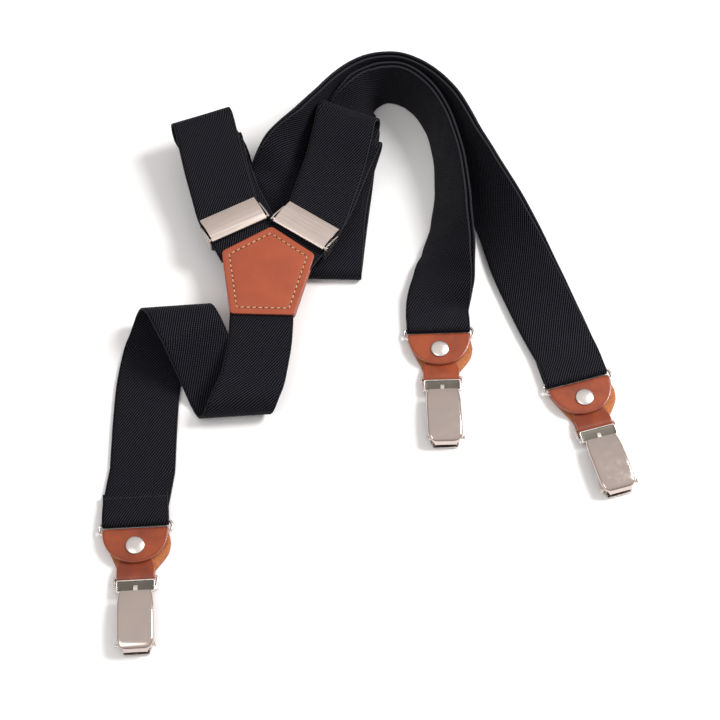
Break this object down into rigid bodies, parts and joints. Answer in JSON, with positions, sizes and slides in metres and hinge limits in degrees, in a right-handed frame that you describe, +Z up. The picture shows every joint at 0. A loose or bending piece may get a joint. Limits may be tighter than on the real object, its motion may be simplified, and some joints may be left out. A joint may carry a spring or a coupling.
{
  "type": "suspenders",
  "caption": "Y-back elastic suspenders laid folded, with leather yoke, cam sliders for length and hinged metal clips on leather tabs",
  "frame": {"origin": "centre of the bounding box of the folded bundle, on the plane it lies on", "axes": "+Z up from the table, +Y along the longest side, from the back clip towards the bend of the two front straps"},
  "size_m": [0.2842, 0.3575, 0.0357],
  "materials": {
    "webbing": "matte ribbed twill elastic",
    "leather": "smooth vegetable tanned, waxed edge",
    "nickel": "polished nickel plate",
    "pad": "matte"
  },
  "bodies": {
    "straps": {"yoke_front_leather": "leather", "yoke_back_leather": "leather", "back_strap": "webbing", "left_strap": "webbing", "right_strap": "webbing", "slider_frame_left": "nickel", "slider_frame_right": "nickel", "slider_pin_left": "nickel", "slider_pin_right": "nickel"},
    "slider_lever_left": {"slider_lever_left": "nickel"},
    "slider_lever_right": {"slider_lever_right": "nickel"},
    "ring_back": {"ring_back": "nickel"},
    "tab_back": {"leather_tab_back": "leather", "rivet_back": "nickel"},
    "bail_back": {"bail_back": "nickel"},
    "clip_back": {"clip_body_back": "nickel", "clip_pad_back": "pad", "clip_pin_back": "nickel"},
    "lever_back": {"clip_lever_back": "nickel"},
    "ring_left": {"ring_left": "nickel"},
    "tab_left": {"leather_tab_left": "leather", "rivet_left": "nickel"},
    "bail_left": {"bail_left": "nickel"},
    "clip_left": {"clip_body_left": "nickel", "clip_pad_left": "pad", "clip_pin_left": "nickel"},
    "lever_left": {"clip_lever_left": "nickel"},
    "ring_right": {"ring_right": "nickel"},
    "tab_right": {"leather_tab_right": "leather", "rivet_right": "nickel"},
    "bail_right": {"bail_right": "nickel"},
    "clip_right": {"clip_body_right": "nickel", "clip_pad_right": "pad", "clip_pin_right": "nickel"},
    "lever_right": {"clip_lever_right": "nickel"}
  },
  "joints": [
    {"name": "slider_lever_left_hinge", "type": "hinge", "parent": "straps", "child": "slider_lever_left", "pos_m": [-0.07284, 0.06592, 0.02102], "axis": [0.8829, 0.4695, 0], "range_deg": [0, 80]},
    {"name": "slider_lever_right_hinge", "type": "hinge", "parent": "straps", "child": "slider_lever_right", "pos_m": [-0.03869, 0.06239, 0.02102], "axis": [0.829, -0.5592, 0], "range_deg": [0, 80]},
    {"name": "ring_back_swing", "type": "hinge", "parent": "straps", "child": "ring_back", "pos_m": [-0.12248, -0.10547, 0.00292], "axis": [-0.9981, -0.061, 0], "range_deg": [-5, 25]},
    {"name": "tab_back_swing", "type": "hinge", "parent": "ring_back", "child": "tab_back", "pos_m": [-0.12209, -0.11185, 0.00292], "axis": [-0.9981, -0.061, 0], "range_deg": [-10, 30]},
    {"name": "bail_back_swing", "type": "hinge", "parent": "tab_back", "child": "bail_back", "pos_m": [-0.12058, -0.13661, 0.00292], "axis": [-0.9981, -0.061, 0], "range_deg": [-20, 30]},
    {"name": "clip_back_swing", "type": "hinge", "parent": "bail_back", "child": "clip_back", "pos_m": [-0.1201, -0.14439, 0.00292], "axis": [-0.9981, -0.061, 0], "range_deg": [-20, 25]},
    {"name": "lever_back_hinge", "type": "hinge", "parent": "clip_back", "child": "lever_back", "pos_m": [-0.11826, -0.17454, 0.00552], "axis": [0.9981, 0.061, 0], "range_deg": [0, 70]},
    {"name": "ring_left_swing", "type": "hinge", "parent": "straps", "child": "ring_left", "pos_m": [0.0385, 0.01154, 0.00292], "axis": [-0.9994, -0.0349, 0], "range_deg": [-5, 25]},
    {"name": "tab_left_swing", "type": "hinge", "parent": "ring_left", "child": "tab_left", "pos_m": [0.03872, 0.00514, 0.00292], "axis": [-0.9994, -0.0349, 0], "range_deg": [-10, 30]},
    {"name": "bail_left_swing", "type": "hinge", "parent": "tab_left", "child": "bail_left", "pos_m": [0.03959, -0.01964, 0.00292], "axis": [-0.9994, -0.0349, 0], "range_deg": [-20, 30]},
    {"name": "clip_left_swing", "type": "hinge", "parent": "bail_left", "child": "clip_left", "pos_m": [0.03986, -0.02744, 0.00292], "axis": [-0.9994, -0.0349, 0], "range_deg": [-20, 25]},
    {"name": "lever_left_hinge", "type": "hinge", "parent": "clip_left", "child": "lever_left", "pos_m": [0.04091, -0.05762, 0.00552], "axis": [0.9994, 0.0349, 0], "range_deg": [0, 70]},
    {"name": "ring_right_swing", "type": "hinge", "parent": "straps", "child": "ring_right", "pos_m": [0.11273, -0.01908, 0.00292], "axis": [-0.9613, -0.2756, 0], "range_deg": [-5, 25]},
    {"name": "tab_right_swing", "type": "hinge", "parent": "ring_right", "child": "tab_right", "pos_m": [0.11449, -0.02524, 0.00292], "axis": [-0.9613, -0.2756, 0], "range_deg": [-10, 30]},
    {"name": "bail_right_swing", "type": "hinge", "parent": "tab_right", "child": "bail_right", "pos_m": [0.12133, -0.04908, 0.00292], "axis": [-0.9613, -0.2756, 0], "range_deg": [-20, 30]},
    {"name": "clip_right_swing", "type": "hinge", "parent": "bail_right", "child": "clip_right", "pos_m": [0.12348, -0.05657, 0.00292], "axis": [-0.9613, -0.2756, 0], "range_deg": [-20, 25]},
    {"name": "lever_right_hinge", "type": "hinge", "parent": "clip_right", "child": "lever_right", "pos_m": [0.1318, -0.0856, 0.00552], "axis": [0.9613, 0.2756, 0], "range_deg": [0, 70]}
  ]
}
